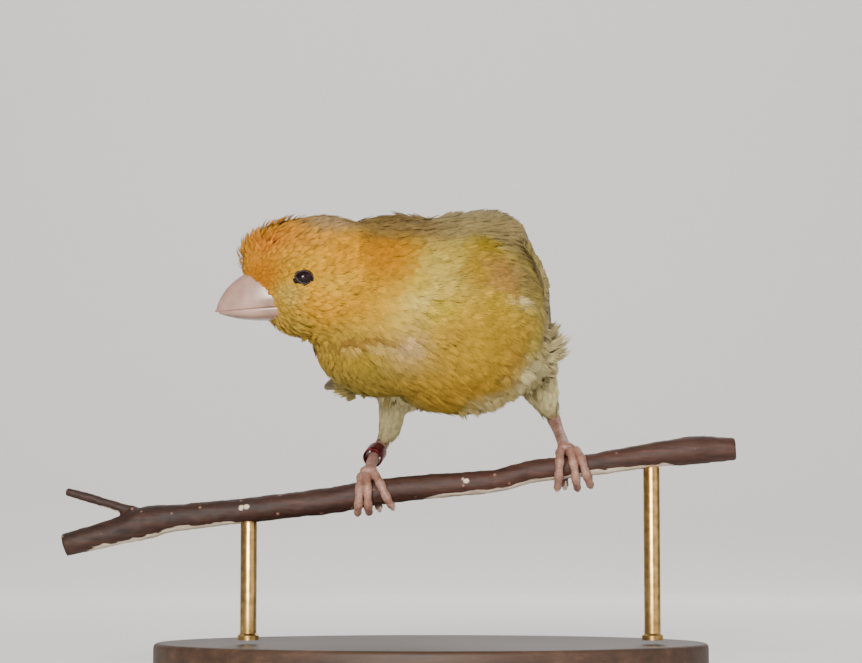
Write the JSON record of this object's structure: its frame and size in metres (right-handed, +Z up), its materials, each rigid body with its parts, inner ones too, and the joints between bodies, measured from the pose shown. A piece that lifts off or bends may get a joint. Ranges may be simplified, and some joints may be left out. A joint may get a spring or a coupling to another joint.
{
  "type": "canary",
  "caption": "A life-size still canary with yellow and orange plumage, its head turned aside, gripping a cut length of branch on a small display stand",
  "frame": {"origin": "centre of the stand base's flat underside", "axes": "+Z up from the base; the bird's breast and the picture's camera are on -Y, its tail points to +Y; its bill points to -X; +X is the picture's right"},
  "size_m": [0.1224, 0.1157, 0.0848],
  "materials": {
    "head_plumage": "orange-yellow contour feathers, matt",
    "body_plumage": "olive-yellow contour feathers, matt",
    "flight_feathers": "grey-beige vanes with pale edges, slight sheen",
    "thigh_down": "cream down, matt",
    "bill_horn": "pale pink horn, satin",
    "dark_eye": "near-black, high gloss",
    "leg_skin": "pinkish scaled skin, satin",
    "claw_horn": "pale horn, satin",
    "ring_aluminium": "plain maroon anodised",
    "bark": "smooth reddish-brown bark",
    "stand_wood": "dark stained, satin varnish",
    "stand_brass": "polished"
  },
  "bodies": {
    "root": {"head": "head_plumage", "neck": "body_plumage", "torso": "body_plumage", "wing_left": "flight_feathers", "wing_right": "flight_feathers", "tail": "flight_feathers", "thigh_left": "thigh_down", "thigh_right": "thigh_down", "bill_upper": "bill_horn", "bill_lower": "bill_horn", "eye_left": "dark_eye", "eye_right": "dark_eye", "shank_left": "leg_skin", "shank_right": "leg_skin", "leg_ring": "ring_aluminium", "perch_branch": "bark", "stand_base": "stand_wood", "stand_rod_left": "stand_brass", "stand_rod_right": "stand_brass", "toe_right_inner": "leg_skin", "claw_right_inner": "claw_horn", "toe_right_middle": "leg_skin", "claw_right_middle": "claw_horn", "toe_right_outer": "leg_skin", "claw_right_outer": "claw_horn", "toe_right_hind": "leg_skin", "claw_right_hind": "claw_horn", "toe_left_inner": "leg_skin", "claw_left_inner": "claw_horn", "toe_left_middle": "leg_skin", "claw_left_middle": "claw_horn", "toe_left_outer": "leg_skin", "claw_left_outer": "claw_horn", "toe_left_hind": "leg_skin", "claw_left_hind": "claw_horn"}
  },
  "joints": []
}
